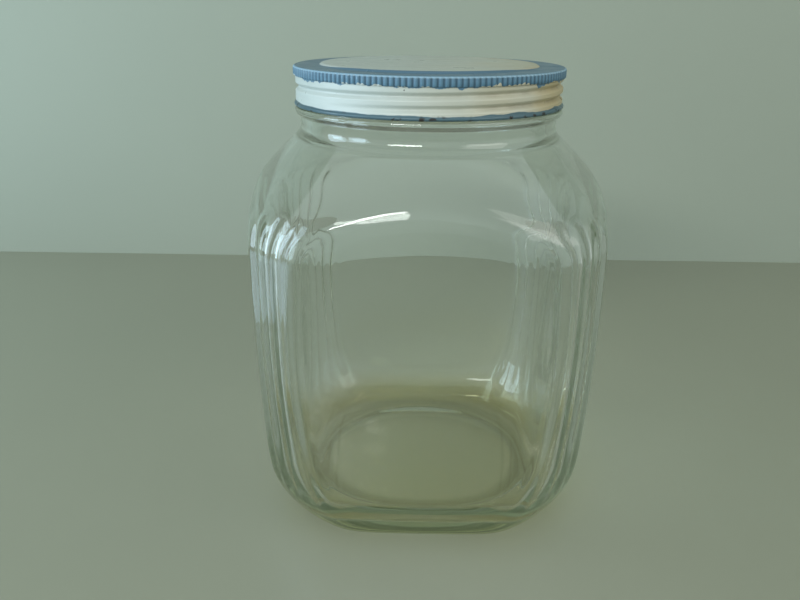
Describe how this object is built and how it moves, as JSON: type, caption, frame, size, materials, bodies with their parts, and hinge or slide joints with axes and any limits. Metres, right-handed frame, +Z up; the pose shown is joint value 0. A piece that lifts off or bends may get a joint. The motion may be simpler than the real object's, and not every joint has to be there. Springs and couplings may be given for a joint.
{
  "type": "lidded glass canister",
  "caption": "Square glass canister with fluted corners, a wide screw neck and a round knurled lid of painted tinplate.",
  "frame": {"origin": "centre of the bearing ring under the base, on the axis of the neck", "axes": "+Z up along the axis of the neck; a flat panel of the body faces each of +X, -X, +Y and -Y, and -Y is the front"},
  "size_m": [0.1586, 0.1586, 0.21],
  "materials": {
    "glass": "clear, faintly green, polished",
    "pulpboard": "matte pulpboard",
    "waxed_facing": "waxed paper",
    "painted_tin": "hand-painted gloss enamel, white with a blue rim"
  },
  "bodies": {
    "jar": {"glass_jar": "glass"},
    "liner": {"liner_board": "pulpboard", "liner_facing": "waxed_facing"},
    "lid": {"lid_shell": "painted_tin"}
  },
  "joints": [
    {"name": "lid_lift", "type": "slide", "parent": "jar", "child": "liner", "axis": [0, 0, 1], "range_m": [0, 0.0204]},
    {"name": "lid_turn", "type": "hinge", "parent": "liner", "child": "lid", "pos_m": [0, 0, 0.2], "axis": [0, 0, 1], "range_deg": [0, 1440]}
  ],
  "couplings": [
    {"joint": "lid_lift", "follows": "lid_turn", "m_per_rad": 0.00080851}
  ]
}
